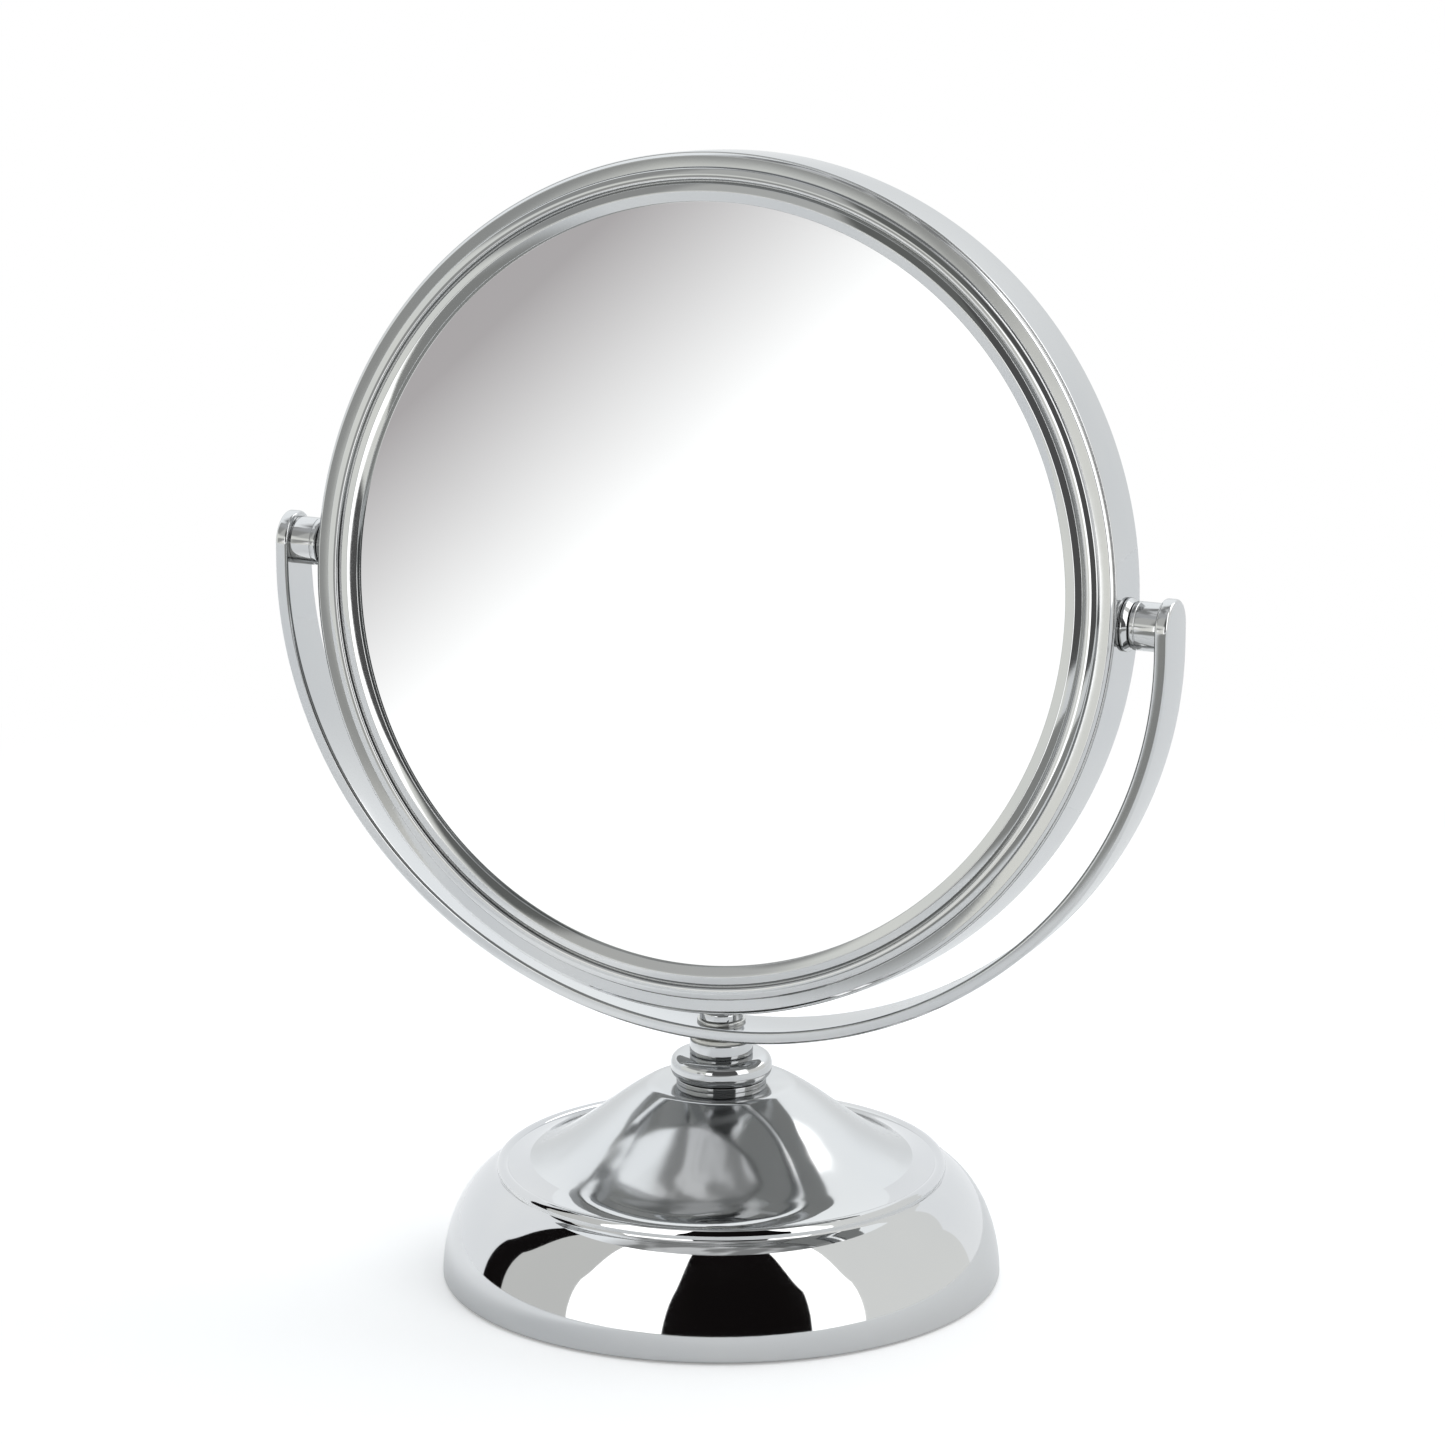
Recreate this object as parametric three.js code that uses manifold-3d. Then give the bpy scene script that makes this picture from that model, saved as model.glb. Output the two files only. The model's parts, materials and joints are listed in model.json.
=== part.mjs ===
// A free-standing, two-sided bathroom mirror in millimetres, +Z up, its front towards -Y.
// A weighted bell-shaped base carries a neck and a U-shaped yoke of flat bar. The round head flips on two
// side pivots between the yoke's arms, and the yoke turns on the stud that clamps the whole stand together.
import * as THREE from "three";
import { mergeVertices } from "three/addons/utils/BufferGeometryUtils.js";
import Module from "manifold-3d";

const wasm = await Module();
wasm.setup();

// ---------------------------------------------------------------- driving dimensions
const gap = 0.25; // assembly gap between faces that rest on each other
const slip = 0.35; // radial clearance of anything that passes through a hole
const broken = 0.3; // broken edges of the small pieces

// base
const footProud = 0.5; // how far the rubber pads stand below the rim
const baseRadius = 67.4;
const baseTop = 48.4;
const shellWall = 1.2;
const stepInset = 13.2; // from the rim in to the raised bead where the dome ends
const stepFoot = 26.2;
const beadRadius = 1.5;
const beadRise = 1.1; // straight flank below the bead's round
const beadSweep = 140; // degrees of the bead's round, before it runs into the flare
const domeInset = 4.2; // the dome's arc is centred this far inside the step
const shoulderRadius = 18.5;
const shoulderDrop = 0.6;
const shoulderFlat = 2.7;
// How the flare leaves the bead and meets the shoulder, as shares of its own width and rise.
const flareLeaves = { out: 0.38, down: 0.07 };
const flareMeets = { out: 0.36, down: 0.35 };

// inside the base
const ballastTop = 20;
const ballastThickness = 5;
const ballastEdge = 0.8;
const coverThickness = 1.6;
const coverRecess = 0.9; // underside of the cover above the rim's edge
const coverBossRadius = 4;
const coverScrewCircle = 38;
const coverScrewCount = 3;
const coverScrewRadius = 1.5;
const coverScrewHeadRadius = 3;
const coverScrewHeadHeight = 1.1;
const coverScrewBite = 4; // length of thread in the ballast disc
const coverSlot = { width: 0.8, depth: 0.65 };
const padCount = 4;
const padInset = 13.4; // from the rim in to the middle of each pad
const padRadius = 5.5;
const padPocket = 0.7; // depth of the pad's seat in the cover

// neck
const studRadius = 2.9;
const studTail = 1.5; // stud standing below its nut
const studEdge = 0.5;
const nutHeight = 4.6;
const nutAcross = 10;
const springThickness = 1.2;
const springRadius = 5.4;
const seatRingRadius = 10.8;
const seatRingHeight = 0.9;
const collarRadius = 12.2;
const collarHeight = 5.8;
const sleeveRadius = 7.6;
const sleeveHeight = 3.4;
const glideRadius = 7.2;
const glideHeight = 0.5;
const capWasherRadius = 5.8;
const capWasherHeight = 0.6;
const capNutRadius = 5.2;
const capNutSkirt = 1.3; // straight part below the dome
const capNutDome = 2.0;
const capNutRoof = 0.9;

// yoke
const yokeThickness = 3.2;
const yokeWidth = 14;
const yokeEdge = 0.6; // softened long edges
const yokeStraight = 4.5; // straight part of each arm below the pivots
const headClearance = 1.74; // between the head's path and the cap nut

// head
const headTilt = THREE.MathUtils.degToRad(8.6); // the top leans back
const bandRadius = 102;
const bandWall = 1.2;
const bandHalfDepth = 8.3;
const bandEdge = 0.35;
const lipInset = 11.9; // from the rim in to the visible glass
const lipWidth = 2.6;
const lipThickness = 1.25;
const lipFall = 0.6; // the lip slopes down towards the glass
const bezelRise = 2.9; // crest of the lip above the band's edge
const bezelSheet = 1.1;
const ribRadius = 1.6;
const ribRise = 1.5;
const ribInset = 5.3; // from the rim in to the rib's middle
const lipShoulder = { width: 1.7, drop: 0.5 }; // from the lip's crest out to the groove
const bezelFlat = 1.15; // height of the outer flat above the band's edge
const bezelRound = { low: 0.7, high: 1.1 }; // how far its outer corner draws in, low down and at the flat
const skirtWall = 1.15;
const glassCover = 2.9; // how far the lip covers the glass
const glassThickness = 3;
const glassChamfer = 0.4;
const magnifierCurve = 900; // radius of the concave face
const gasketThickness = 1;
const gasketWidth = 6.8;
const foamInset = 23; // from the glass's edge in to the foam disc
const spacerCover = 7; // how far the spacer reaches in under the glass
const spacerPocket = 8.6; // half length of the pivot pockets
const spacerPocketRoom = 1; // clear space behind each screw head

// pivots, each listed from the yoke towards the glass
const bossRadius = 5.75;
const bossLength = 6.55;
const bossFloor = 1.2; // solid end against the arm
const bossEdge = 0.4;
const flangeFlare = 0.65; // how far the flange stands out from the boss
const flangeThickness = 1.5;
const flangeEdge = 0.5;
const screwRadius = 2;
const screwHeadRadius = 4;
const screwHeadHeight = 2.2;
const screwHeadEdge = 0.6;
const screwSlot = { width: 1, depth: 0.8 };
const bushWall = 0.85;
const bushFlangeRadius = 5;
const bushFlangeThickness = 0.8;
const clampPlateThickness = 1.3;
const clampPlateHalfHeight = 7;
const clampPlateHalfDepth = 4.6;
const clampPlateMargin = 1; // between the plate and the skirts beside it
const waveThickness = 0.9;
const waveRadius = 4.4;

// facets
const wide = 40; // rings the size of the head or the base
const middling = 24;
const fine = 12; // pins, washers and screws
const barSteps = 40; // along the yoke's curve

// joining and cutting
const overrun = 1; // how far a cutting tool runs past what it cuts
const weld = 0.5; // how far one body runs into another that it is joined to

// ---------------------------------------------------------------- worked-out places
const rim = footProud;
const coverLow = rim + coverRecess;
const coverHigh = coverLow + coverThickness;
const ballastLow = ballastTop - ballastThickness;
const springLow = ballastLow - gap - springThickness;
const nutLow = springLow - gap - nutHeight;
const studLow = nutLow - studTail;
const seatLow = baseTop + gap;
const collarLow = seatLow + seatRingHeight + gap;
const sleeveLow = collarLow + collarHeight + gap;
const glideLow = sleeveLow + sleeveHeight + gap;
const yokeLow = glideLow + glideHeight + gap;
const yokeHigh = yokeLow + yokeThickness;
const capWasherLow = yokeHigh + gap;
const capNutLow = capWasherLow + capWasherHeight + gap;
const capNutHigh = capNutLow + capNutSkirt + capNutDome;
const studHigh = capNutHigh - capNutRoof - gap;

const stepRadius = baseRadius - stepInset;
const padCircle = baseRadius - padInset;
const headReach = Math.hypot(bandRadius, bandHalfDepth - bandEdge);
const pivotHeight = capNutHigh + headClearance + headReach;

const flangeIn = bandRadius + gap;
const bossIn = flangeIn + flangeThickness + gap;
const armIn = bossIn + bossLength + gap;
const armMiddle = armIn + yokeThickness / 2;

const lipRadius = bandRadius - lipInset;
const ribCentre = bandRadius - ribInset;
const glassRadius = lipRadius + glassCover;
const foamRadius = glassRadius - foamInset;
const spacerInner = glassRadius - spacerCover;
const flangeRadius = bossRadius + flangeFlare;
const skirtDepth = bandHalfDepth - clampPlateHalfDepth - clampPlateMargin;
const bandInner = bandRadius - bandWall;
const bandInnerFlat = bandInner * Math.cos(Math.PI / wide); // to the middle of a facet
const glassFront = bandHalfDepth + bezelRise - lipFall - lipThickness - gap;
const glassBack = glassFront - glassThickness;
const gasketHigh = glassBack - gap;
const gasketLow = gasketHigh - gasketThickness;
const spacerHalf = gasketLow - gap;
const spacerOuter = bandInner - gap - skirtWall - gap;
const plateOut = Math.sqrt((bandInnerFlat - gap) ** 2 - clampPlateHalfHeight ** 2);
const plateIn = plateOut - clampPlateThickness;
const bushFlangeIn = plateIn - gap - bushFlangeThickness;
const waveIn = bushFlangeIn - gap - waveThickness;
const screwHeadOut = waveIn - gap;
const bushBore = screwRadius + slip;
const bushRadius = bushBore + bushWall;
const pivotHole = bushRadius + slip;

// ---------------------------------------------------------------- finishes
const finishes = {
  chrome: { color: 0xc9cdcf, roughness: 0.06, metalness: 1 },
  mirror: { color: 0xeceff0, roughness: 0.02, metalness: 1 },
  zinc: { color: 0xa9adb0, roughness: 0.35, metalness: 1 },
  iron: { color: 0x4a4b4d, roughness: 0.7, metalness: 0.8 },
  nylon: { color: 0xe6e4dc, roughness: 0.5, metalness: 0 },
  blackPlastic: { color: 0x1d1e20, roughness: 0.55, metalness: 0 },
  rubber: { color: 0x2a2a2b, roughness: 0.85, metalness: 0 },
  foam: { color: 0x3b3b3d, roughness: 0.95, metalness: 0 },
};

// ---------------------------------------------------------------- helpers
const v2 = (r, h) => new THREE.Vector2(r, h);

// Points on an ellipse's arc, angles in degrees from the +r direction.
function arc(centre, radiusR, radiusH, from, to, steps) {
  const points = [];
  for (let i = 0; i <= steps; i++) {
    const angle = THREE.MathUtils.degToRad(from + ((to - from) * i) / steps);
    points.push(v2(centre.x + radiusR * Math.cos(angle), centre.y + radiusH * Math.sin(angle)));
  }
  return points;
}

// The same run of points moved sideways by a distance, to the left of its direction of travel.
function offset(points, distance) {
  return points.map((point, i) => {
    const before = points[Math.max(i - 1, 0)];
    const after = points[Math.min(i + 1, points.length - 1)];
    const along = after.clone().sub(before).normalize();
    return v2(point.x - along.y * distance, point.y + along.x * distance);
  });
}

// A turned solid about +Z. A closed profile runs up its outside and down its inside.
function turned(profile, segments, closed = true) {
  const points = closed ? [...profile, profile[0].clone()] : profile;
  return new THREE.LatheGeometry(points, segments).rotateX(Math.PI / 2);
}

// A plain washer or tube with lightly broken edges.
function tube(inner, outer, low, high, segments, edge = 0) {
  const profile = edge
    ? [v2(outer - edge, low), v2(outer, low + edge), v2(outer, high - edge), v2(outer - edge, high)]
    : [v2(outer, low), v2(outer, high)];
  return turned([...profile, v2(inner, high), v2(inner, low)], segments);
}

// A solid disc or pin.
function disc(radius, low, high, segments, edge = 0) {
  const side = edge
    ? [v2(radius - edge, low), v2(radius, low + edge), v2(radius, high - edge), v2(radius - edge, high)]
    : [v2(radius, low), v2(radius, high)];
  return turned([v2(0, low), ...side, v2(0, high)], segments, false);
}

function box(sizeX, sizeY, sizeZ, x, y, z) {
  return new THREE.BoxGeometry(sizeX, sizeY, sizeZ).translate(x, y, z);
}

// three.js geometry to a manifold solid and back, for joining and cutting.
function solid(geometry) {
  const bare = geometry.index ? geometry.toNonIndexed() : geometry.clone();
  for (const name of Object.keys(bare.attributes)) if (name !== "position") bare.deleteAttribute(name);
  const merged = mergeVertices(bare, 1e-4);
  const vertProperties = merged.attributes.position.array;
  const triVerts = new Uint32Array(merged.index.array);
  return new wasm.Manifold(new wasm.Mesh({ numProp: 3, vertProperties, triVerts }));
}

function geometryOf(made) {
  const { vertProperties, triVerts } = made.getMesh();
  const geometry = new THREE.BufferGeometry();
  geometry.setAttribute("position", new THREE.BufferAttribute(vertProperties, 3));
  geometry.setIndex(new THREE.BufferAttribute(triVerts, 1));
  return geometry;
}

function cut(geometry, tools) {
  return geometryOf(tools.reduce((left, tool) => left.subtract(solid(tool)), solid(geometry)));
}

const stand = new THREE.Group();
const head = new THREE.Group();
head.position.z = pivotHeight;
head.rotation.x = -headTilt;
stand.add(head);

function piece(name, geometry, finish, parent = stand) {
  const mesh = new THREE.Mesh(geometry, new THREE.MeshStandardMaterial(finishes[finish]));
  mesh.name = name;
  parent.add(mesh);
  return mesh;
}

// ---------------------------------------------------------------- base
// The dome's outline at any height: an ellipse that passes through the rim and the step's foot.
const domeCentre = v2(stepRadius - domeInset, rim);
const domeReach = baseRadius - domeCentre.x;
const domeHeight = (stepFoot - rim) / Math.sqrt(1 - (domeInset / domeReach) ** 2);
const domeTopAngle = THREE.MathUtils.radToDeg(Math.asin((stepFoot - rim) / domeHeight));

function domeRadiusAt(height) {
  return domeCentre.x + domeReach * Math.sqrt(1 - ((height - rim) / domeHeight) ** 2);
}

function baseShell() {
  const domeArc = (steps) => arc(domeCentre, domeReach, domeHeight, 0, domeTopAngle, steps);
  const beadCentre = v2(stepRadius - beadRadius, stepFoot + beadRise);
  const bead = arc(beadCentre, beadRadius, beadRadius, 0, beadSweep, 4);
  const foot = bead.at(-1);
  const shoulder = v2(shoulderRadius, baseTop - shoulderDrop);
  const span = foot.clone().sub(shoulder);
  const flare = new THREE.CubicBezierCurve(
    foot,
    v2(foot.x - flareLeaves.out * span.x, foot.y - flareLeaves.down * span.y),
    v2(shoulder.x + flareMeets.out * span.x, shoulder.y + flareMeets.down * span.y),
    shoulder,
  );
  const round = new THREE.QuadraticBezierCurve(
    shoulder,
    v2(shoulderRadius - shoulderFlat / 3, baseTop),
    v2(shoulderRadius - shoulderFlat, baseTop),
  ).getPoints(2);
  const hole = studRadius + slip;
  const top = [...flare.getPoints(7), ...round.slice(1), v2(hole, baseTop)];
  const outside = [...domeArc(7), ...bead, ...top.slice(1)];
  const insideFlare = offset(flare.getPoints(4), shellWall).reverse();
  const insideDome = offset(domeArc(4), shellWall).reverse();
  const roof = v2(insideFlare[0].x - shoulderFlat, baseTop - shellWall);
  const inside = [v2(hole, roof.y), roof, ...insideFlare.slice(1), ...insideDome.slice(0, -1)];
  return turned([...outside, ...inside, v2(baseRadius - shellWall, rim)], wide);
}

// Radius that clears the inside of the dome at a height.
const insideDomeAt = (height) => domeRadiusAt(height) - shellWall - gap;

function ringPlaces(count, radius, start = 0) {
  return Array.from({ length: count }, (_, i) => {
    const angle = start + (2 * Math.PI * i) / count;
    return [radius * Math.cos(angle), radius * Math.sin(angle)];
  });
}

const screwPlaces = ringPlaces(coverScrewCount, coverScrewCircle, Math.PI / 2);
const padPlaces = ringPlaces(padCount, padCircle, Math.PI / padCount);

function ballastDisc() {
  const topRadius = domeRadiusAt(ballastTop) - 2 * shellWall - gap;
  const ring = tube(studRadius + slip, topRadius, ballastLow, ballastTop, wide, ballastEdge);
  const holes = screwPlaces.map(([x, y]) =>
    disc(coverScrewRadius + slip, ballastLow - overrun, ballastTop + overrun, fine).translate(x, y, 0),
  );
  return cut(ring, holes);
}

function bottomCover() {
  const bossHigh = ballastLow - gap;
  const toolLow = coverLow - overrun;
  const boss = disc(coverBossRadius, coverHigh - weld, bossHigh, fine);
  const bore = disc(coverScrewRadius + slip, toolLow, bossHigh + overrun, fine);
  const screwSeat = disc(coverScrewHeadRadius + slip, toolLow, coverLow + coverScrewHeadHeight + gap, fine);
  const padSeat = disc(padRadius + slip, toolLow, coverLow + padPocket, fine);
  const at = (tool, [x, y]) => solid(tool.clone().translate(x, y, 0));
  let body = solid(disc(insideDomeAt(coverHigh), coverLow, coverHigh, wide, broken));
  for (const place of screwPlaces) {
    body = body.add(at(boss, place)).subtract(at(bore, place)).subtract(at(screwSeat, place));
  }
  for (const place of padPlaces) body = body.subtract(at(padSeat, place));
  return geometryOf(body);
}

function coverScrew() {
  const headHigh = coverLow + coverScrewHeadHeight;
  const tip = ballastLow + coverScrewBite;
  const profile = [
    v2(0, coverLow),
    v2(coverScrewHeadRadius - broken, coverLow),
    v2(coverScrewHeadRadius, coverLow + broken),
    v2(coverScrewHeadRadius, headHigh),
    v2(coverScrewRadius, headHigh),
    v2(coverScrewRadius, tip - broken),
    v2(coverScrewRadius - broken, tip),
    v2(0, tip),
  ];
  const slot = box(2 * coverScrewHeadRadius, coverSlot.width, 2 * coverSlot.depth, 0, 0, coverLow);
  return cut(turned(profile, fine, false), [slot]);
}

piece("base_shell", baseShell(), "chrome");
piece("ballast_disc", ballastDisc(), "iron");
piece("bottom_cover", bottomCover(), "blackPlastic");
screwPlaces.forEach(([x, y], i) => {
  piece(`cover_screw_${i + 1}`, coverScrew(), "zinc").position.set(x, y, 0);
});
padPlaces.forEach(([x, y], i) => {
  const pad = disc(padRadius, 0, coverLow + padPocket - gap, fine, broken);
  piece(`foot_pad_${i + 1}`, pad, "rubber").position.set(x, y, 0);
});

// ---------------------------------------------------------------- neck, from the nut up
function hexNut() {
  const outline = new THREE.Shape(
    Array.from({ length: 6 }, (_, i) => {
      const angle = (Math.PI * i) / 3;
      const corner = nutAcross / Math.sqrt(3);
      return v2(corner * Math.cos(angle), corner * Math.sin(angle));
    }),
  );
  outline.holes.push(new THREE.Path().absarc(0, 0, studRadius + slip, 0, 2 * Math.PI, true));
  const options = { depth: nutHeight, bevelEnabled: false, curveSegments: fine };
  return new THREE.ExtrudeGeometry(outline, options).translate(0, 0, nutLow);
}

function neckCollar() {
  const half = collarHeight / 2;
  const middle = v2(collarRadius - half, collarLow + half);
  const round = arc(middle, half, half, -90, 90, 8);
  const bore = studRadius + slip;
  return turned([...round, v2(bore, collarLow + collarHeight), v2(bore, collarLow)], middling);
}

function capNut() {
  const domeLow = capNutLow + capNutSkirt;
  const bore = studRadius + slip;
  const dome = arc(v2(0, domeLow), capNutRadius, capNutDome, 0, 90, 5);
  const outside = [v2(capNutRadius - broken, capNutLow), v2(capNutRadius, capNutLow + broken), ...dome];
  const roof = capNutHigh - capNutRoof;
  return turned([v2(0, roof), v2(bore, roof), v2(bore, capNutLow), ...outside], middling, false);
}

// A ring that the stud passes through.
function onStud(radius, low, height, segments, edge = 0) {
  return tube(studRadius + slip, radius, low, low + height, segments, edge);
}

piece("stem_nut", hexNut(), "zinc");
piece("stem_spring_washer", onStud(springRadius, springLow, springThickness, fine), "zinc");
piece("stem_stud", disc(studRadius, studLow, studHigh, fine, studEdge), "zinc");
piece("seat_ring", onStud(seatRingRadius, seatLow, seatRingHeight, middling, broken), "chrome");
piece("neck_collar", neckCollar(), "chrome");
piece("neck_sleeve", onStud(sleeveRadius, sleeveLow, sleeveHeight, middling, broken), "chrome");
piece("glide_washer", onStud(glideRadius, glideLow, glideHeight, middling), "nylon");
piece("cap_washer", onStud(capWasherRadius, capWasherLow, capWasherHeight, middling), "zinc");
piece("cap_nut", capNut(), "chrome");

// ---------------------------------------------------------------- yoke
// The bar's centre line is half an ellipse between two straight arms. One side of it, outwards or inwards.
function yokeSide(sideways) {
  const arcCentre = pivotHeight - yokeStraight;
  const drop = arcCentre - yokeLow - yokeThickness / 2;
  const top = pivotHeight + yokeWidth / 2;
  const points = [v2(-armMiddle - sideways, top)];
  for (let i = 0; i <= barSteps; i++) {
    const angle = -Math.PI / 2 + (Math.PI * i) / barSteps;
    const normal = v2(Math.sin(angle) / armMiddle, -Math.cos(angle) / drop).normalize();
    const middle = v2(armMiddle * Math.sin(angle), arcCentre - drop * Math.cos(angle));
    points.push(middle.add(normal.multiplyScalar(sideways)));
  }
  points.push(v2(armMiddle + sideways, top));
  return points;
}

function yoke() {
  const edge = Math.min(yokeEdge, yokeThickness / 3);
  const half = yokeThickness / 2 - edge;
  const outline = new THREE.Shape([...yokeSide(half), ...yokeSide(-half).reverse()]);
  const options = { depth: yokeWidth - 2 * edge, bevelThickness: edge, bevelSize: edge, bevelSegments: 1 };
  const bar = new THREE.ExtrudeGeometry(outline, { ...options, curveSegments: 1 });
  bar.rotateX(Math.PI / 2).translate(0, yokeWidth / 2 - edge, 0);
  // Seen from the side each arm ends in a half round about the pivot.
  const radius = yokeWidth / 2;
  const low = yokeLow - overrun;
  const side = new THREE.Shape();
  side.moveTo(-radius, low);
  side.lineTo(radius, low);
  side.lineTo(radius, pivotHeight);
  side.absarc(0, pivotHeight, radius, 0, Math.PI, false);
  side.lineTo(-radius, low);
  const reach = armMiddle + yokeThickness;
  const across = { depth: 2 * reach, bevelEnabled: false, curveSegments: fine };
  const envelope = new THREE.ExtrudeGeometry(side, across);
  envelope.rotateX(Math.PI / 2).rotateZ(Math.PI / 2).translate(-reach, 0, 0);
  const hole = disc(studRadius + slip, low, yokeHigh + overrun, fine);
  return geometryOf(solid(bar).intersect(solid(envelope)).subtract(solid(hole)));
}

piece("yoke", yoke(), "chrome");

// ---------------------------------------------------------------- head
// Ring profiles are drawn with height towards the glass's own side, for the front or the rear face.
const toFront = (geometry) => geometry.rotateX(Math.PI / 2);
const toRear = (geometry) => geometry.rotateX(-Math.PI / 2);
const toSide = (geometry, side) => geometry.rotateY((side * Math.PI) / 2);

function outerBand() {
  const ring = tube(bandInner, bandRadius, -bandHalfDepth, bandHalfDepth, wide, bandEdge);
  const pin = disc(pivotHole, bandInnerFlat - overrun, bandRadius + overrun, fine);
  return cut(toFront(ring), [toSide(pin.clone(), 1), toSide(pin.clone(), -1)]);
}

// Outer flat, half-round rib, groove and the lip that slopes down to the glass, with a skirt inside the band.
function bezel() {
  const low = bandHalfDepth + gap;
  const flat = bandHalfDepth + bezelFlat;
  const crest = bandHalfDepth + bezelRise;
  const lipLow = crest - lipFall - lipThickness;
  const sheetLow = flat - bezelSheet;
  const skirtOuter = bandInner - gap;
  const skirtInner = skirtOuter - skirtWall;
  const ribFoot = v2(ribCentre, flat);
  const glassSide = glassRadius + gap;
  return turned(
    [
      v2(skirtOuter, bandHalfDepth - skirtDepth),
      v2(skirtOuter, low),
      v2(bandRadius - bandEdge, low),
      v2(bandRadius - bezelRound.low, (low + flat) / 2),
      v2(bandRadius - bezelRound.high, flat),
      ...arc(ribFoot, ribRadius, ribRise, 0, 180, 5),
      v2(lipRadius + lipWidth + lipShoulder.width, crest - lipShoulder.drop),
      v2(lipRadius + lipWidth, crest),
      v2(lipRadius, crest - lipFall),
      v2(lipRadius, lipLow),
      v2(glassSide, lipLow),
      v2(glassSide + bezelSheet, Math.min(sheetLow, lipLow)),
      v2(skirtInner, sheetLow),
      v2(skirtInner, bandHalfDepth - skirtDepth),
    ],
    wide,
  );
}

function plainGlass() {
  return disc(glassRadius, glassBack, glassFront, wide, glassChamfer);
}

// How far the magnifying glass is slumped below its rim at a radius.
function slump(radius) {
  return Math.sqrt(magnifierCurve ** 2 - radius ** 2) - Math.sqrt(magnifierCurve ** 2 - glassRadius ** 2);
}

// The magnifying glass is a sheet of even thickness, slumped to a shallow dish that is hollow outwards.
function magnifyingGlass() {
  const steps = 5;
  const front = [];
  for (let i = steps; i >= 0; i--) {
    const radius = (glassRadius * i) / steps;
    front.push(v2(radius, glassFront - slump(radius)));
  }
  const back = front.map((point) => v2(point.x, point.y - glassThickness)).reverse();
  return turned([...back, ...front], wide, false);
}

// The moulded ring that holds the gaskets apart, with an open pocket round each pivot's fastenings.
function spacerRing() {
  const ring = toFront(tube(spacerInner, spacerOuter, -spacerHalf, spacerHalf, wide));
  const pocketIn = screwHeadOut - screwHeadHeight - spacerPocketRoom;
  const length = bandRadius - pocketIn;
  const pockets = [-1, 1].map((side) =>
    box(length, 2 * (spacerHalf + overrun), 2 * spacerPocket, side * (pocketIn + length / 2), 0, 0),
  );
  return cut(ring, pockets);
}

// A foam ring under the glass's rim. Its inner edge is squeezed down by as much as the glass is slumped.
function gasket(squeeze) {
  const inner = glassRadius - gasketWidth;
  const outer = glassRadius - gap;
  const high = gasketHigh - squeeze;
  return turned([v2(outer, gasketLow), v2(outer, gasketHigh), v2(inner, high), v2(inner, gasketLow)], wide);
}

// A soft disc that keeps the two glasses' backs apart.
function foamDisc() {
  const magnifierBack = glassBack - slump(0);
  return disc(foamRadius, gap - magnifierBack, glassBack - gap, middling);
}

piece("outer_band", outerBand(), "chrome", head);
piece("front_bezel", toFront(bezel()), "chrome", head);
piece("rear_bezel", toRear(bezel()), "chrome", head);
piece("front_glass", toFront(plainGlass()), "mirror", head);
piece("rear_glass", toRear(magnifyingGlass()), "mirror", head);
piece("front_gasket", toFront(gasket(0)), "foam", head);
piece("rear_gasket", toRear(gasket(slump(glassRadius - gasketWidth))), "foam", head);
piece("foam_disc", toFront(foamDisc()), "foam", head);
piece("spacer_ring", spacerRing(), "blackPlastic", head);

// ---------------------------------------------------------------- pivots
function pivotBoss() {
  const bore = screwRadius + slip;
  const high = bossIn + bossLength;
  const floor = high - bossFloor;
  return turned(
    [
      v2(0, floor),
      v2(bore, floor),
      v2(bore, bossIn),
      v2(bossRadius - bossEdge, bossIn),
      v2(bossRadius, bossIn + bossEdge),
      v2(bossRadius, high),
      v2(0, high),
    ],
    middling,
    false,
  );
}

function pivotScrew() {
  const headIn = screwHeadOut - screwHeadHeight;
  const tip = bossIn + bossLength - bossFloor - gap;
  const profile = [
    v2(0, headIn),
    v2(screwHeadRadius - screwHeadEdge, headIn),
    v2(screwHeadRadius, headIn + screwHeadEdge),
    v2(screwHeadRadius, screwHeadOut),
    v2(screwRadius, screwHeadOut),
    v2(screwRadius, tip),
    v2(0, tip),
  ];
  const slot = box(screwSlot.width, 2 * screwHeadRadius, 2 * screwSlot.depth, 0, 0, headIn);
  return cut(turned(profile, fine, false), [slot]);
}

function pivotFlange() {
  const high = flangeIn + flangeThickness;
  const outside = [
    v2(flangeRadius, flangeIn),
    v2(flangeRadius, flangeIn + flangeEdge),
    v2(bossRadius - bossEdge, high),
  ];
  return turned([...outside, v2(pivotHole, high), v2(pivotHole, flangeIn)], middling);
}

function pivotBush() {
  const step = bushFlangeIn + bushFlangeThickness;
  const high = flangeIn + flangeThickness;
  return turned(
    [
      v2(bushFlangeRadius, bushFlangeIn),
      v2(bushFlangeRadius, step),
      v2(bushRadius, step),
      v2(bushRadius, high),
      v2(bushBore, high),
      v2(bushBore, bushFlangeIn),
    ],
    fine,
  );
}

function clampPlate(side) {
  const middle = side * (plateIn + clampPlateThickness / 2);
  const plate = box(clampPlateThickness, 2 * clampPlateHalfDepth, 2 * clampPlateHalfHeight, middle, 0, 0);
  const hole = disc(pivotHole, plateIn - overrun, plateOut + overrun, fine);
  return cut(plate, [toSide(hole, side)]);
}

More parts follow.
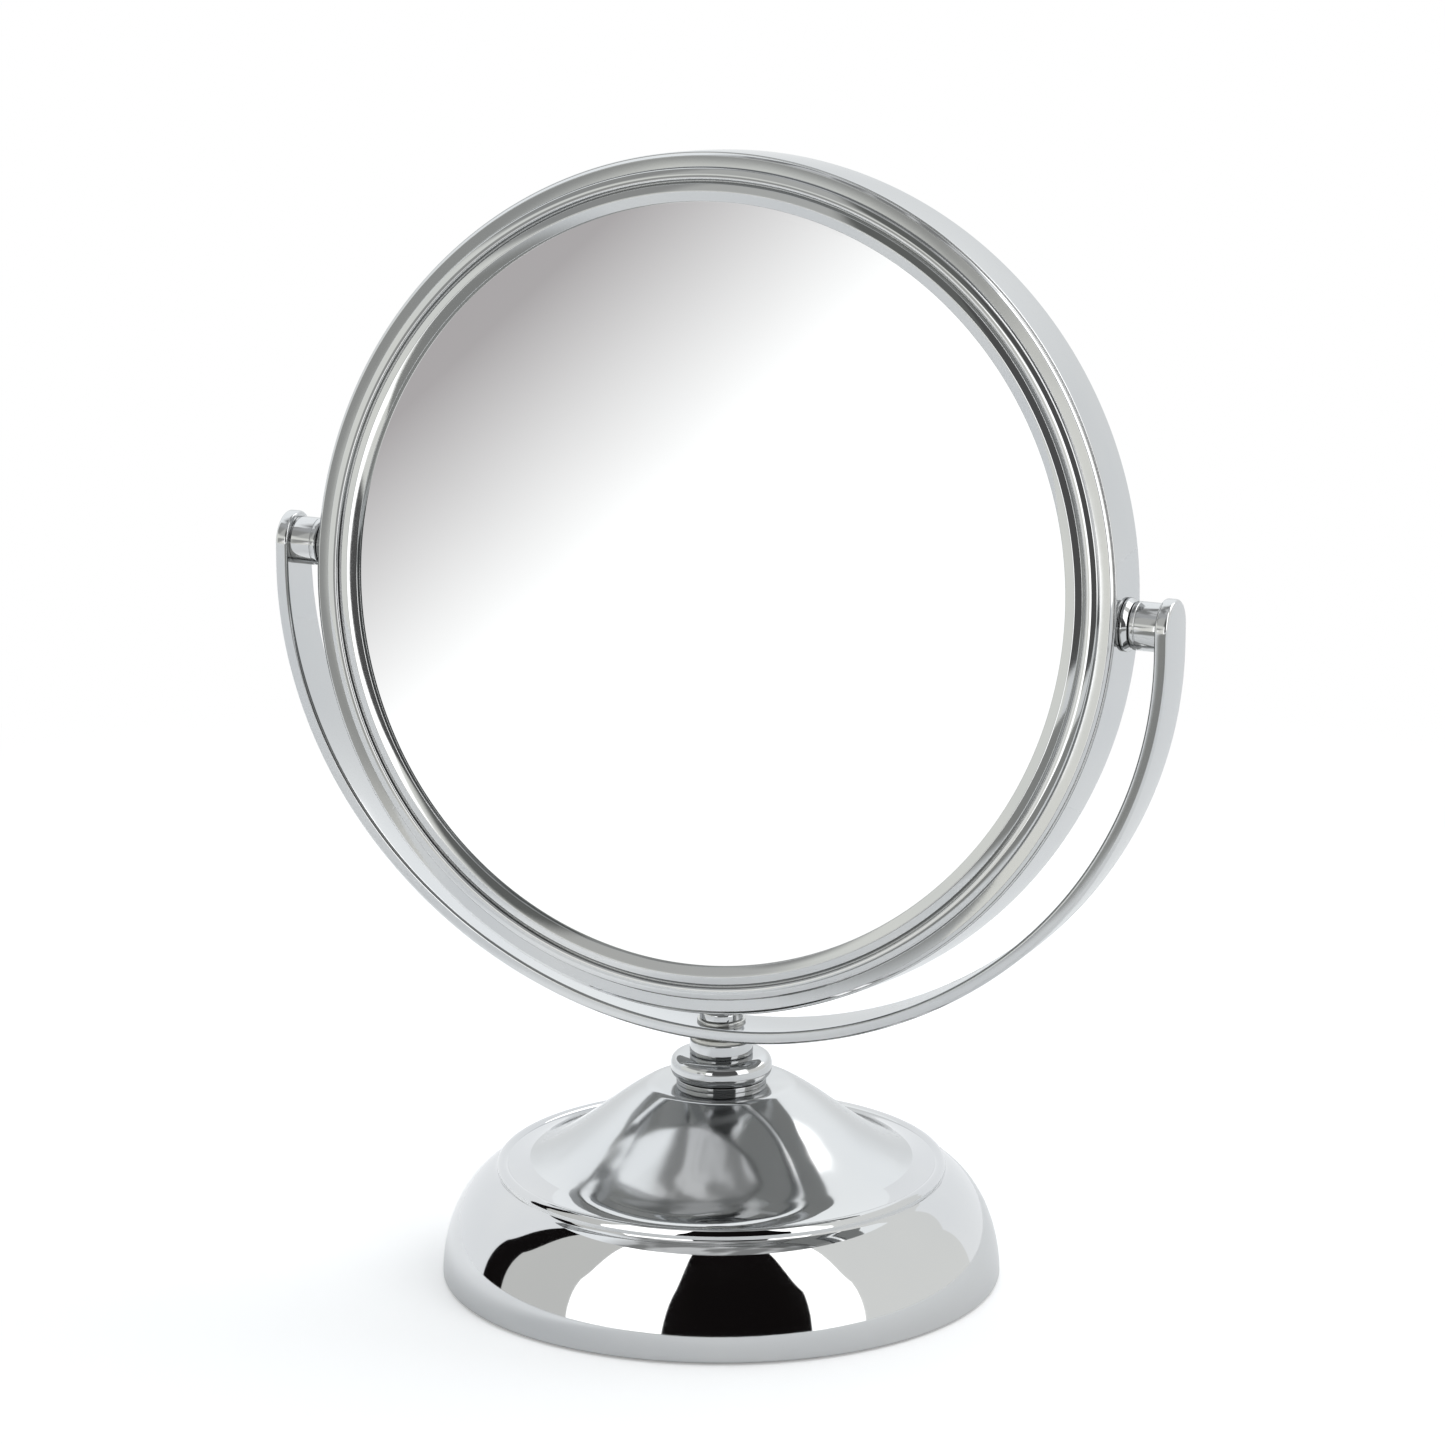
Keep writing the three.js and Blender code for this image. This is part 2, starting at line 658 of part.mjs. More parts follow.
for (const [label, side] of [["left", -1], ["right", 1]]) {
  const boss = piece(`pivot_boss_${label}`, toSide(pivotBoss(), side), "chrome");
  const screw = piece(`pivot_screw_${label}`, toSide(pivotScrew(), side), "zinc");
  boss.position.z = pivotHeight;
  screw.position.z = pivotHeight;
  const wave = tube(screwRadius + slip, waveRadius, waveIn, waveIn + waveThickness, fine);
  piece(`pivot_flange_${label}`, toSide(pivotFlange(), side), "chrome", head);
  piece(`pivot_bush_${label}`, toSide(pivotBush(), side), "nylon", head);
  piece(`pivot_clamp_plate_${label}`, clampPlate(side), "zinc", head);
  piece(`pivot_wave_washer_${label}`, toSide(wave, side), "zinc", head);
}

export default stand;
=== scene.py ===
"""A two-sided mirror on a turned chrome stand, finished for rendering round its frame. Metres, +Z up."""

import json
from math import asin, cos, pi, radians, sin, sqrt, tan

import bmesh
import bpy
from mathutils import Matrix, Vector


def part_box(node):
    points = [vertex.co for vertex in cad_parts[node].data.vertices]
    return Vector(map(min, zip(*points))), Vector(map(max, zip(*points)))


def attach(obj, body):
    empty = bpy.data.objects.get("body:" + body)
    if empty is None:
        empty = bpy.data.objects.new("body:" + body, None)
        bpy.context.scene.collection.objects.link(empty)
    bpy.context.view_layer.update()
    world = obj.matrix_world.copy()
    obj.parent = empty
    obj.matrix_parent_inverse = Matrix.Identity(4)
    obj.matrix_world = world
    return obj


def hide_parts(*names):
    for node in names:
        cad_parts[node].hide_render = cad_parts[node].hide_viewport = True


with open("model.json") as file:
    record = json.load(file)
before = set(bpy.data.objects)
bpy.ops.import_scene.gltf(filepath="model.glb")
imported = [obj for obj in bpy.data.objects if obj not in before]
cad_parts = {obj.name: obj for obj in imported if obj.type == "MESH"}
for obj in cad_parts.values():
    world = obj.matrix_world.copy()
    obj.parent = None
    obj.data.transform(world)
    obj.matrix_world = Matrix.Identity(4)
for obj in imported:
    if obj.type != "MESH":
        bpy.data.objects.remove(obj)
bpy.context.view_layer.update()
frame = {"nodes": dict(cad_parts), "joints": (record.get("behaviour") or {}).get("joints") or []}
MM = 0.001


# ------------------------------------------------------------------ the frame's own sizes
def size(node):
    low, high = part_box(node)
    return high - low


def middle(node):
    low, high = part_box(node)
    return (low + high) / 2


def outer_radius(node):
    return size(node).x / 2


SLIP = 0.35 * MM  # the play round the stud, the screws and the pads
STUD_HOLE = outer_radius("stem_stud") + SLIP
SEATED = 0.22 * MM  # most of the assembly gap, closed where pieces of one body rest on each other
joints = {joint["name"]: joint for joint in frame["joints"]}
pivot = Vector(joints["mirror_flip"]["pos_m"])
head_front = (middle("front_glass") - pivot).normalized()
head_across = Vector((1, 0, 0))
head_up = head_front.cross(head_across)
# The head's own frame: X across, Y up the glass, Z out of the front glass.
head_axes = Matrix((head_across, head_up, head_front)).transposed()
head_frame = Matrix.Translation(pivot) @ head_axes.to_4x4()
rear_frame = head_frame @ Matrix.Rotation(pi, 4, "X")


def upright(node):
    """The upright axis through a node's middle."""
    at = middle(node)
    return Matrix.Translation((at.x, at.y, 0))


# ------------------------------------------------------------------ mesh work
SAME_POINT = 1e-7
NEARLY_STRAIGHT = radians(178)


def made(name, bm, sharp=30):
    """A mesh object from a bmesh, smooth except across edges sharper than so many degrees."""
    bmesh.ops.remove_doubles(bm, verts=bm.verts, dist=SAME_POINT)
    bmesh.ops.recalc_face_normals(bm, faces=bm.faces)
    mesh = bpy.data.meshes.new(name)
    bm.to_mesh(mesh)
    bm.free()
    mesh.shade_smooth()
    mesh.set_sharp_from_angle(angle=radians(sharp))
    piece = bpy.data.objects.new(name, mesh)
    bpy.context.scene.collection.objects.link(piece)
    return piece


def rounded(corners, steps=6):
    """A closed outline whose corners, each (across, along, radius), are rounded by arcs that leave a little
    of every side straight."""
    points = []
    for i, (x, y, radius) in enumerate(corners):
        here = Vector((x, y))
        before = Vector(corners[i - 1][:2]) - here
        after = Vector(corners[(i + 1) % len(corners)][:2]) - here
        turn = before.angle(after)
        if radius <= 0 or turn > NEARLY_STRAIGHT:
            points.append(here)
            continue
        reach = min(radius / tan(turn / 2), before.length * 0.49, after.length * 0.49)
        true_radius = reach * tan(turn / 2)
        bisector = (before.normalized() + after.normalized()).normalized()
        centre = here + bisector * (true_radius / sin(turn / 2))
        start = here + before.normalized() * reach - centre
        end = here + after.normalized() * reach - centre
        swing = start.angle_signed(end)
        for step in range(steps + 1):
            angle = -swing * step / steps
            points.append(centre + Matrix.Rotation(angle, 2) @ start)
    return points


def turned(name, outline, place=Matrix.Identity(4), segments=192, sharp=30):
    """A lathe-turned solid about the local Z, from a closed outline of (radius, height)."""
    bm = bmesh.new()
    rings = []
    for radius, height in outline:
        if radius < SAME_POINT:
            rings.append([bm.verts.new((0, 0, height))])
            continue
        turns = [2 * pi * i / segments for i in range(segments)]
        rings.append([bm.verts.new((radius * cos(a), radius * sin(a), height)) for a in turns])
    for ring, above in zip(rings, rings[1:] + rings[:1]):
        if len(ring) == 1 and len(above) == 1:
            continue
        for i in range(segments):
            j = (i + 1) % segments
            corners = [ring[i % len(ring)], ring[j % len(ring)]]
            corners += [above[j % len(above)], above[i % len(above)]]
            bm.faces.new(list(dict.fromkeys(corners)))
    bm.transform(place)
    return made(name, bm, sharp)


def washer(node, edge, above=0.0):
    """A plain turned ring on the stud, let down on the piece below it and drawn up by so much above."""
    low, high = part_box(node)
    radius, foot, top = outer_radius(node), low.z - SEATED, high.z + above
    corners = [(STUD_HOLE, foot, 0), (radius, foot, edge), (radius, top, edge), (STUD_HOLE, top, 0)]
    return turned(node + "_turned", rounded(corners))


def cut(piece, tools):
    """Takes the tools' shapes out of a piece."""
    for tool in tools:
        change = piece.modifiers.new("cut", "BOOLEAN")
        change.object = tool
        change.solver = "EXACT"
    evaluated = piece.evaluated_get(bpy.context.evaluated_depsgraph_get())
    cut_mesh = bpy.data.meshes.new_from_object(evaluated)
    piece.modifiers.clear()
    piece.data = cut_mesh
    cut_mesh.set_sharp_from_angle(angle=radians(30))
    for tool in tools:
        bpy.data.objects.remove(tool)
    return piece


def finish(piece, body, slot, material, *nodes):
    """Gives a piece its finish and body, and hides the frame nodes that it stands for."""
    piece.data.materials.clear()
    piece.data.materials.append(material)
    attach(piece, body)
    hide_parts(*nodes)
    return piece


# ------------------------------------------------------------------ shader work
class Link:
    """A socket of a node tree that can stand in sums."""

    def __init__(self, tree, socket):
        self.tree = tree
        self.socket = socket

    def math(self, operation, *others):
        """A Math node on this value and the others."""
        return maths(self.tree, operation, self, *others)

    def __add__(self, other):
        return self.math("ADD", other)

    def __sub__(self, other):
        return self.math("SUBTRACT", other)

    def __rsub__(self, other):
        return maths(self.tree, "SUBTRACT", other, self)

    def __mul__(self, other):
        return self.math("MULTIPLY", other)

    __radd__ = __add__
    __rmul__ = __mul__


def put(tree, slot, value):
    """Links a value to a slot, or sets it there."""
    if isinstance(value, Link):
        tree.links.new(value.socket, slot)
    else:
        slot.default_value = value


def maths(tree, operation, *values):
    node = tree.nodes.new("ShaderNodeMath")
    node.operation = operation
    for slot, value in zip(node.inputs, values):
        put(tree, slot, value)
    return Link(tree, node.outputs[0])


class Sheet:
    """One node tree, of a material or of the world."""

    def __init__(self, owner):
        owner.use_nodes = True
        self.tree = owner.node_tree
        self.tree.nodes.clear()

    def node(self, kind, settings=None, **inputs):
        """Adds a node, its settings first and then its sockets, by name or by number as i0, i1 and so on."""
        made_node = self.tree.nodes.new(kind)
        for key, value in (settings or {}).items():
            setattr(made_node, key, value)
        for key, value in inputs.items():
            slot = int(key[1:]) if key[1:].isdigit() else key
            put(self.tree, made_node.inputs[slot], value)
        return made_node

    def out(self, node, name=0):
        return Link(self.tree, node.outputs[name])

    def ends(self, shader, kind="ShaderNodeOutputMaterial"):
        """Makes a shader the last one."""
        self.node(kind, None, Surface=self.out(shader))

    def place(self, kind="Object"):
        return self.out(self.node("ShaderNodeTexCoord"), kind)

    def parts(self, vector):
        """A vector's x, y and z."""
        node = self.node("ShaderNodeSeparateXYZ", None, Vector=vector)
        return [self.out(node, i) for i in range(3)]

    def noise(self, place, scale, detail=3.0, roughness=0.5, stretch=None):
        """Noise from 0 to 1, its scale per metre, drawn out along some axes if asked."""
        if stretch:
            place = self.out(self.node("ShaderNodeMapping", None, Vector=place, Scale=stretch))
        settings = {"Scale": scale, "Detail": detail, "Roughness": roughness}
        return self.out(self.node("ShaderNodeTexNoise", None, Vector=place, **settings))

    def cells(self, place, scale):
        """How far each point is from the middle of its cell."""
        return self.out(self.node("ShaderNodeTexVoronoi", None, Vector=place, Scale=scale), "Distance")

    def ramp(self, value, low, high, to_low=0.0, to_high=1.0, kind="SMOOTHSTEP"):
        """Runs from to_low to to_high as value goes from low to high."""
        settings = {"interpolation_type": kind}
        node = self.node("ShaderNodeMapRange", settings, i0=value, i1=low, i2=high, i3=to_low, i4=to_high)
        return self.out(node)

    def blend(self, share, first, second):
        """Mixes two colours."""
        node = self.node("ShaderNodeMix", {"data_type": "RGBA"}, i0=share, i6=first, i7=second)
        return self.out(node, 2)

    def glow(self, colour):
        return self.node("ShaderNodeEmission", None, Color=colour)

    def mixed(self, share, first, second):
        """Mixes two shaders."""
        return self.node("ShaderNodeMixShader", None, i0=share, i1=self.out(first), i2=self.out(second))


def rgb(red, green, blue):
    return (red, green, blue, 1.0)


def material(name, colour, roughness, metallic=0.0, bump=None, bump_depth=0.0):
    """A material whose rules for colour, roughness and bump are given its sheet and its own coordinates."""
    made_material = bpy.data.materials.new(name)
    sheet = Sheet(made_material)
    place = sheet.place()
    shader = sheet.node("ShaderNodeBsdfPrincipled", None, Metallic=metallic)
    put(sheet.tree, shader.inputs["Base Color"], colour(sheet, place))
    put(sheet.tree, shader.inputs["Roughness"], roughness(sheet, place))
    if bump:
        relief = sheet.node("ShaderNodeBump", None, Height=bump(sheet, place), Distance=bump_depth)
        put(sheet.tree, shader.inputs["Normal"], sheet.out(relief))
    sheet.ends(shader)
    return made_material


# ------------------------------------------------------------------ finishes
def chrome(name, wave=1.0, haze=0.0, grain=(1, 1, 1), flare=None):
    """Bright chrome plate: faint buffing waves, hairlines along the buffing direction and a thin haze of
    handling. Above the height flare it is buffed less finely and ripples more."""

    def coarse(sheet, place):
        if flare is None:
            return 0.0
        return sheet.ramp(sheet.parts(place)[2], flare - MM, flare + MM)

    def colour(sheet, place):
        cloud = sheet.noise(place, 22, detail=4)
        return sheet.blend(sheet.ramp(cloud, 0.35, 0.7), rgb(0.655, 0.665, 0.675), rgb(0.69, 0.695, 0.695))

    def roughness(sheet, place):
        hairs = sheet.noise(place, 900, detail=2, stretch=grain)
        smear = sheet.ramp(sheet.noise(place, 35, detail=5, roughness=0.65), 0.52, 0.75)
        return 0.028 + haze + 0.03 * hairs + 0.035 * smear + 0.07 * coarse(sheet, place)

    def bump(sheet, place):
        slow = sheet.noise(place, 38, detail=1)
        hairs = sheet.noise(place, 1400, detail=1, stretch=grain)
        ripples = sheet.noise(place, 75, detail=1, stretch=(1, 1, 0.5))
        return slow * wave + hairs * 0.006 + ripples * coarse(sheet, place) * 3.5

    return material(name, colour, roughness, 1.0, bump, 0.12 * MM)


def silvered():
    """Back-silvered glass: almost perfect, with the faint film that a wiping cloth leaves."""

    def colour(sheet, place):
        film = sheet.ramp(sheet.noise(place, 18, detail=4), 0.4, 0.8)
        return sheet.blend(film, rgb(0.93, 0.94, 0.94), rgb(0.915, 0.925, 0.925))

    def roughness(sheet, place):
        wipes = sheet.noise(place, 26, detail=6, roughness=0.7, stretch=(1, 3, 3))
        return 0.004 + 0.016 * sheet.ramp(wipes, 0.5, 0.8)

    return material("silvered_glass", colour, roughness, 1.0)


def zinc():
    """Zinc plate with its faint spangle and a dull, slightly yellow passivation."""

    def spangle(sheet, place):
        return sheet.cells(place, 1100)

    def colour(sheet, place):
        return sheet.blend(sheet.noise(place, 300), rgb(0.60, 0.62, 0.64), rgb(0.72, 0.71, 0.66))

    def roughness(sheet, place):
        return 0.26 + 0.16 * spangle(sheet, place)

    return material("zinc_plated_steel", colour, roughness, 1.0, spangle, 0.05 * MM)


def cast_iron():
    """Rough grey casting with a thin oily film."""

    def colour(sheet, place):
        return sheet.blend(sheet.noise(place, 160, detail=6), rgb(0.10, 0.10, 0.10), rgb(0.26, 0.25, 0.24))

    def roughness(sheet, place):
        return 0.55 + 0.3 * sheet.noise(place, 240)

    def bump(sheet, place):
        return sheet.noise(place, 700, detail=6, roughness=0.7)

    return material("cast_iron", colour, roughness, 0.7, bump, 0.5 * MM)


def nylon():
    """Natural nylon, a little cloudy."""

    def colour(sheet, place):
        return sheet.blend(sheet.noise(place, 200), rgb(0.80, 0.79, 0.73), rgb(0.88, 0.87, 0.83))

    def roughness(sheet, place):
        return 0.38 + 0.12 * sheet.noise(place, 900)

    def bump(sheet, place):
        return sheet.noise(place, 2200, detail=2)

    return material("white_nylon", colour, roughness, 0.0, bump, 0.04 * MM)


def moulded_black():
    """Black moulded plastic with a fine spark-eroded texture, rubbed smoother in patches."""

    def colour(sheet, place):
        return sheet.blend(sheet.noise(place, 60, detail=5), rgb(0.018, 0.018, 0.02), rgb(0.04, 0.04, 0.042))

    def roughness(sheet, place):
        return 0.42 + 0.2 * sheet.ramp(sheet.noise(place, 40, detail=4), 0.35, 0.65)

    def bump(sheet, place):
        return sheet.noise(place, 2600, detail=3, roughness=0.6)

    return material("black_plastic", colour, roughness, 0.0, bump, 0.12 * MM)


def rubber():
    """Soft matte rubber with a dusting of lint."""

    def colour(sheet, place):
        lint = sheet.ramp(sheet.noise(place, 1500, detail=2, stretch=(1, 4, 1)), 0.66, 0.74)
        return sheet.blend(lint, rgb(0.022, 0.022, 0.023), rgb(0.11, 0.11, 0.11))

    def roughness(sheet, place):
        return 0.72 + 0.2 * sheet.noise(place, 500)

    def bump(sheet, place):
        return sheet.noise(place, 3000, detail=3)

    return material("rubber_pad", colour, roughness, 0.0, bump, 0.1 * MM)


def foam():
    """Closed-cell foam."""

    def cells(sheet, place):
        return sheet.cells(place, 1800)

    def colour(sheet, place):
        return sheet.blend(cells(sheet, place), rgb(0.10, 0.10, 0.105), rgb(0.03, 0.03, 0.03))

    def roughness(sheet, place):
        return 0.85 + 0.1 * sheet.noise(place, 700)

    return material("foam_strip", colour, roughness, 0.0, cells, 0.3 * MM)


shell_chrome = chrome("chrome_shell", wave=0.55, flare=30 * MM)
neck_chrome = chrome("chrome_neck", wave=0.5, haze=0.03)
yoke_chrome = chrome("chrome_yoke", wave=1.3, haze=0.05, grain=(0.3, 3, 0.3))
rim_chrome = chrome("chrome_rim", wave=0.8, haze=0.012)
glass = silvered()
steel = zinc()
iron = cast_iron()
white_plastic = nylon()
black_plastic = moulded_black()
pad_rubber = rubber()
soft_foam = foam()

# ------------------------------------------------------------------ base
SHELL_WALL = 1.2 * MM
STEP_RADIUS = 54.2 * MM
STEP_FOOT = 26.2 * MM
BEAD = 1.5 * MM
BEAD_RISE = 1.1 * MM
BEAD_SWEEP = radians(140)
DOME_INSET = 4.2 * MM
SHOULDER = Vector((18.5 * MM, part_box("base_shell")[1].z - 0.6 * MM))
SHOULDER_FLAT = 2.7 * MM
# How the flare leaves the bead and meets the shoulder, as shares of its own width and rise.
FLARE_LEAVES = Vector((0.38, 0.07))
FLARE_MEETS = Vector((0.36, 0.35))


def bezier(a, b, c, d, steps):
    """Points along a cubic curve."""
    points = []
    for i in range(steps + 1):
        t = i / steps
        u = 1 - t
        points.append(a * u**3 + b * 3 * u * u * t + c * 3 * u * t * t + d * t**3)
    return points


def shell_outline():
    """The runs of the shell's outside from the rim up: dome, bead, flare and the round into the flat top."""
    low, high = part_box("base_shell")
    base_radius = outer_radius("base_shell")
    centre = Vector((STEP_RADIUS - DOME_INSET, low.z))
    reach = base_radius - centre.x
    rise = (STEP_FOOT - low.z) / sqrt(1 - (DOME_INSET / reach) ** 2)
    top = asin((STEP_FOOT - low.z) / rise)
    dome = [centre + Vector((reach * cos(a), rise * sin(a))) for a in (top * i / 36 for i in range(37))]
    bead_centre = Vector((STEP_RADIUS - BEAD, STEP_FOOT + BEAD_RISE))
    bead = [bead_centre + BEAD * Vector((cos(a), sin(a))) for a in (BEAD_SWEEP * i / 14 for i in range(15))]
    span = bead[-1] - SHOULDER
    leaves = bead[-1] - FLARE_LEAVES * span
    meets = SHOULDER + FLARE_MEETS * span
    flare = bezier(bead[-1], leaves, meets, SHOULDER, 48)
    corner = Vector((SHOULDER.x - SHOULDER_FLAT / 3, high.z))
    flat = Vector((SHOULDER.x - SHOULDER_FLAT, high.z))
    round_top = bezier(SHOULDER, SHOULDER.lerp(corner, 2 / 3), flat.lerp(corner, 2 / 3), flat, 8)
    return dome, bead, flare, round_top


def inward(points, distance):
    """The same run of points moved in by a wall's thickness."""
    moved = []
    for i, point in enumerate(points):
        along = (points[min(i + 1, len(points) - 1)] - points[max(i - 1, 0)]).normalized()
        moved.append(point + distance * Vector((-along.y, along.x)))
    return moved


def base_shell():
    dome, bead, flare, round_top = shell_outline()
    low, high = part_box("base_shell")
    crease = 0.25 * MM  # the little fillet where the dome runs up into the bead
    foot = [Vector((STEP_RADIUS + crease, STEP_FOOT)), Vector((STEP_RADIUS, STEP_FOOT + crease))]
    roll = SHELL_WALL / 2  # the rim's edge is rolled over to a half round
    roll_centre = Vector((outer_radius("base_shell") - roll, low.z + roll))
    rolled = [roll_centre + roll * Vector((cos(a), sin(a))) for a in (pi + pi * i / 10 for i in range(11))]
    dome = [point for point in dome if point.y > roll_centre.y]
    outside = dome[:-1] + foot + bead + flare[1:] + round_top[1:] + [Vector((STUD_HOLE, high.z))]
    under_top = Vector((SHOULDER.x - SHOULDER_FLAT, high.z - SHELL_WALL))
    inside = [Vector((STUD_HOLE, under_top.y)), under_top]
    inside += inward(flare, SHELL_WALL)[-2:0:-4] + inward(dome, SHELL_WALL)[-2:1:-3]
    return turned("base_shell_spun", outside + inside + rolled, segments=256)


finish(base_shell(), "base", "polished_chrome", shell_chrome, "base_shell")


COVER_PLATE = 1.6 * MM
COVER_RINGS = (14 * MM, 24 * MM, 46.5 * MM)  # where its grooves start
PAD_WELL = 0.7 * MM
SCREW_WELL = 1.35 * MM
SCREW_HOLE = 1.85 * MM
SCREW_BOSS = 4 * MM
SCREW_HEAD = 1.1 * MM
SCREW_SHANK = 1.5 * MM
RECESS = (3.4 * MM, 0.75 * MM)
RECESS_DEPTH = 0.75 * MM
FINE_EDGE = 0.1 * MM


def groove(start, width, bevel, foot, depth):
    """The corners of a ring groove in a face that looks down."""
    return [
        (start, foot, FINE_EDGE),
        (start + bevel, foot + depth, FINE_EDGE),
        (start + width - bevel, foot + depth, FINE_EDGE),
        (start + width, foot, FINE_EDGE),
    ]


def bottom_cover():
    """The moulded underside: wells for pads and screws, and shallow ring grooves that stiffen it."""
    low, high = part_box("bottom_cover")
    radius = outer_radius("bottom_cover")
    foot, top = low.z, low.z + COVER_PLATE
    edge = 0.3 * MM
    outline = [(0, foot, 0)]
    for ring in COVER_RINGS:
        outline += groove(ring, 1.8 * MM, 0.3 * MM, foot, 0.35 * MM)
    outline += [(radius, foot, edge), (radius, top, edge), (0, top, 0)]
    cover = turned("bottom_cover_moulded", rounded(outline, 3))
    start, end = foot - MM, top + MM
    tools = []
    for i in range(1, 5):
        pad = f"foot_pad_{i}"
        well, roof = outer_radius(pad) + SLIP, foot + PAD_WELL
        corners = [(0, start), (well, start), (well, roof), (0, roof)]
        tools.append(turned("well", corners, upright(pad), 64))
    for i in range(1, 4):
        screw = f"cover_screw_{i}"
        well, seat = outer_radius(screw) + SLIP, foot + SCREW_WELL
        corners = [(0, start), (well, start), (well, seat), (SCREW_HOLE, seat), (SCREW_HOLE, end), (0, end)]
        tools.append(turned("well", corners, upright(screw), 64))
    cut(cover, tools)
    with_bosses = bmesh.new()
    with_bosses.from_mesh(cover.data)
    for i in range(1, 4):
        wall = [(SCREW_HOLE, top), (SCREW_BOSS, top), (SCREW_BOSS, high.z), (SCREW_HOLE, high.z)]
        boss = turned("boss", wall, upright(f"cover_screw_{i}"), 48)
        with_bosses.from_mesh(boss.data)
        bpy.data.objects.remove(boss)
    with_bosses.to_mesh(cover.data)
    with_bosses.free()
    return cover


finish(bottom_cover(), "base", "black_plastic", black_plastic, "bottom_cover")


def foot_pad(node):
    """A pad with a rounded rim and a ring groove in its sole."""
    low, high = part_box(node)
    radius = outer_radius(node)
    width = 0.8 * MM
    corners = [
        (0, low.z, 0),
        *groove(radius / 2 - width / 2, width, 0.2 * MM, low.z, 0.25 * MM),
        (radius, low.z, 0.45 * MM),
        (radius, high.z, FINE_EDGE),
        (0, high.z, 0),
    ]
    return turned(node + "_moulded", rounded(corners, 4), upright(node), 64)


def cover_screw(node):
    """A pan-head screw with a cross recess."""
    low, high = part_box(node)
    head = outer_radius(node)
    under = low.z + SCREW_HEAD
    corners = [
        (0, low.z, 0),
        (head, low.z, 0.7 * MM),
        (head, under, FINE_EDGE),
        (SCREW_SHANK, under, FINE_EDGE),
        (SCREW_SHANK, high.z, 0.3 * MM),
        (0, high.z, 0),
    ]
    screw = turned(node + "_made", rounded(corners), upright(node), 64)
    tools = []
    for across in (RECESS, RECESS[::-1]):
        bm = bmesh.new()
        bmesh.ops.create_cube(bm, size=1)
        bm.transform(Matrix.Diagonal((*across, 2 * RECESS_DEPTH, 1)))
        bm.transform(upright(node) @ Matrix.Translation((0, 0, low.z)))
        tools.append(made("recess", bm))
    return cut(screw, tools)


for number in range(1, 5):
    pad = f"foot_pad_{number}"
    finish(foot_pad(pad), "base", "rubber_pad", pad_rubber, pad)
for number in range(1, 4):
    screw = f"cover_screw_{number}"
    finish(cover_screw(screw), "base", "zinc_plated_steel", steel, screw)


# ------------------------------------------------------------------ neck
COLLAR_POWER = 0.8  # one gives a true half round, less a fuller one
CAP_SKIRT = 1.5 * MM
CAP_ROOF = 0.9 * MM


def neck_collar():
    """The fat collar, a little fuller than a half round."""
    low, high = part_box("neck_collar")
    low.z -= SEATED
    half = (high.z - low.z) / 2
    centre = Vector((outer_radius("neck_collar") - half, low.z + half))
    arc = []
    for i in range(37):
        a = radians(-90 + 5 * i)
        out, up = abs(cos(a)) ** COLLAR_POWER, abs(sin(a)) ** COLLAR_POWER
        arc.append(centre + half * Vector((out, up if a > 0 else -up)))
    inner = [Vector((STUD_HOLE, high.z)), Vector((STUD_HOLE, low.z))]
    return turned("neck_collar_turned", arc + inner, segments=160)


def cap_nut():
    """A domed nut with a small chamfer under its skirt, hollow but for its roof."""
    low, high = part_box("cap_nut")
    low.z -= SEATED
    radius = outer_radius("cap_nut")
    chamfer = 0.3 * MM
    skirt = low.z + CAP_SKIRT
    roof = high.z - CAP_ROOF
    foot = [(radius - chamfer, low.z), (radius, low.z + chamfer)]
    arc = [radians(5 * i) for i in range(18)]
    dome = [(radius * cos(a), skirt + (high.z - skirt) * sin(a)) for a in arc]
    inside = [(0, high.z), (0, roof), (STUD_HOLE, roof), (STUD_HOLE, low.z)]
    return turned("cap_nut_turned", foot + dome + inside, segments=96)


finish(washer("seat_ring", 0.12 * MM), "base", "polished_chrome", neck_chrome, "seat_ring")
finish(neck_collar(), "base", "polished_chrome", neck_chrome, "neck_collar")
finish(washer("neck_sleeve", 0.4 * MM), "base", "polished_chrome", neck_chrome, "neck_sleeve")
finish(washer("glide_washer", FINE_EDGE, 0.1 * MM), "base", "white_nylon", white_plastic, "glide_washer")
finish(washer("cap_washer", 0.15 * MM), "base", "zinc_plated_steel", steel, "cap_washer")
finish(cap_nut(), "base", "polished_chrome", neck_chrome, "cap_nut")

# ------------------------------------------------------------------ yoke
YOKE_THICKNESS = 3.2 * MM
YOKE_EDGE = 0.75 * MM
YOKE_STRAIGHT = 4.5 * MM


